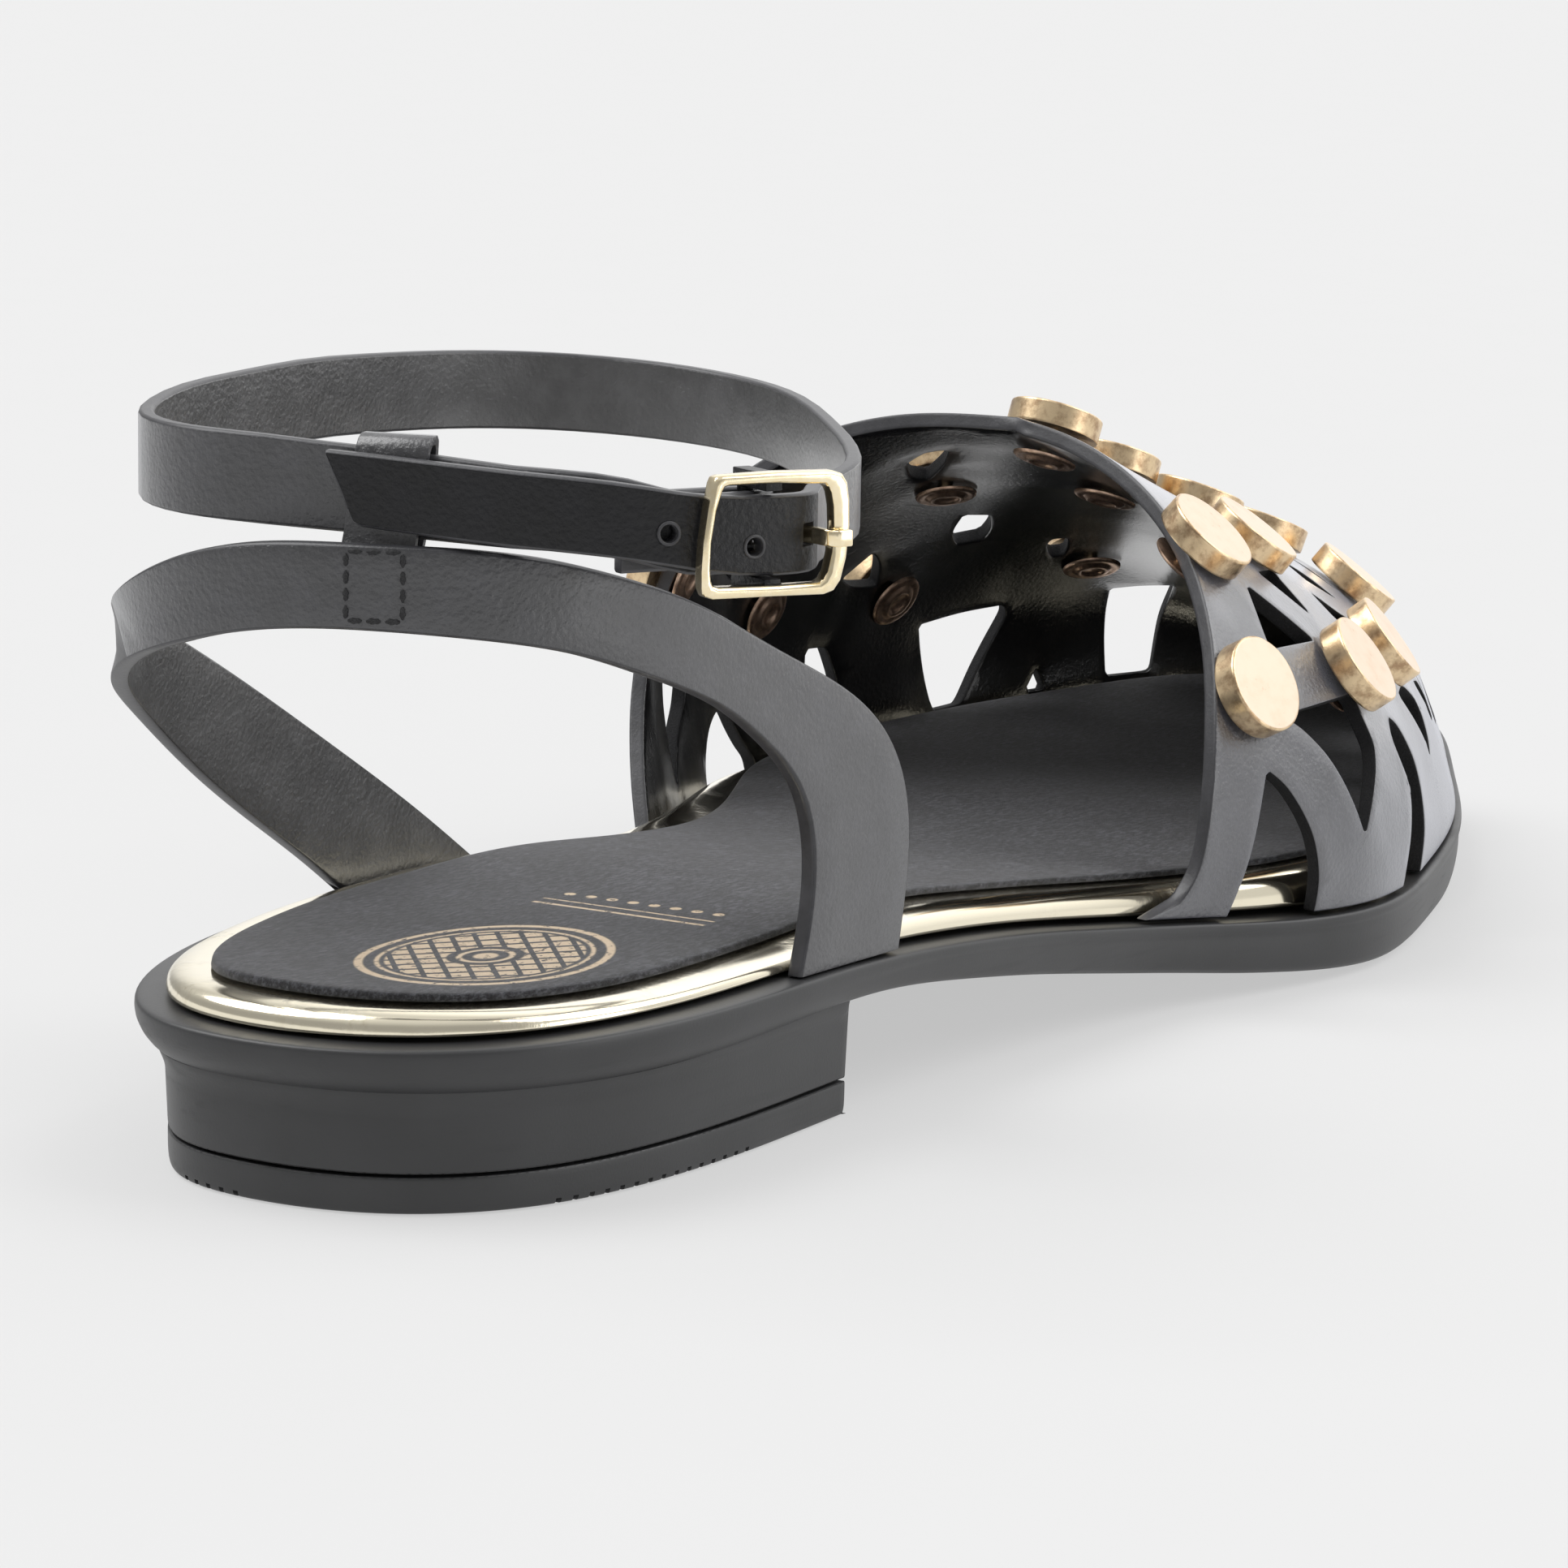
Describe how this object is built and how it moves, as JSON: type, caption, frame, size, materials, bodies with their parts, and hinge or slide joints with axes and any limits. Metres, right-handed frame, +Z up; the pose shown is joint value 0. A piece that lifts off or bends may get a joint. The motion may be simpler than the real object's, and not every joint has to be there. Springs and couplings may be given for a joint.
{
  "type": "open-side strap sandal",
  "caption": "Right-foot flat sandal with a caged toe, open sides, drum studs, a heel strap and a buckled ankle strap.",
  "frame": {"origin": "on the floor plane under the middle of the heel's resting face", "axes": "+Z up, +X towards the toe, +Y towards the inner side of the foot"},
  "size_m": [0.25, 0.0972, 0.0729],
  "materials": {
    "rubber": "dark matte moulded rubber",
    "black_leather": "black fine-grain leather with a soft sheen",
    "gold_leather": "pale gold metallic leather, glossy",
    "nubuck": "black nubuck, dull, with a gold foil ornament on the heel",
    "stud_gold": "antique gold plate, satin",
    "bronze": "dark bronze, dull",
    "buckle_gold": "pale gold plate, polished"
  },
  "bodies": {
    "root": {"outsole": "rubber", "heel_block": "rubber", "heel_top_lift": "rubber", "vamp": "black_leather", "back_strap": "black_leather", "ankle_strap": "black_leather", "strap_keeper": "black_leather", "footbed_rand": "gold_leather", "insole_sock": "nubuck", "buckle_frame": "buckle_gold", "buckle_prong": "buckle_gold", "stud_01": "stud_gold", "rivet_01": "bronze", "stud_02": "stud_gold", "rivet_02": "bronze", "stud_03": "stud_gold", "rivet_03": "bronze", "stud_04": "stud_gold", "rivet_04": "bronze", "stud_05": "stud_gold", "rivet_05": "bronze", "stud_06": "stud_gold", "rivet_06": "bronze", "stud_07": "stud_gold", "rivet_07": "bronze", "stud_08": "stud_gold", "rivet_08": "bronze", "stud_09": "stud_gold", "rivet_09": "bronze", "stud_10": "stud_gold", "rivet_10": "bronze", "stud_11": "stud_gold", "rivet_11": "bronze", "stud_12": "stud_gold", "rivet_12": "bronze", "stud_13": "stud_gold", "rivet_13": "bronze", "stud_14": "stud_gold", "rivet_14": "bronze", "stud_15": "stud_gold", "rivet_15": "bronze", "stud_16": "stud_gold", "rivet_16": "bronze"}
  },
  "joints": []
}
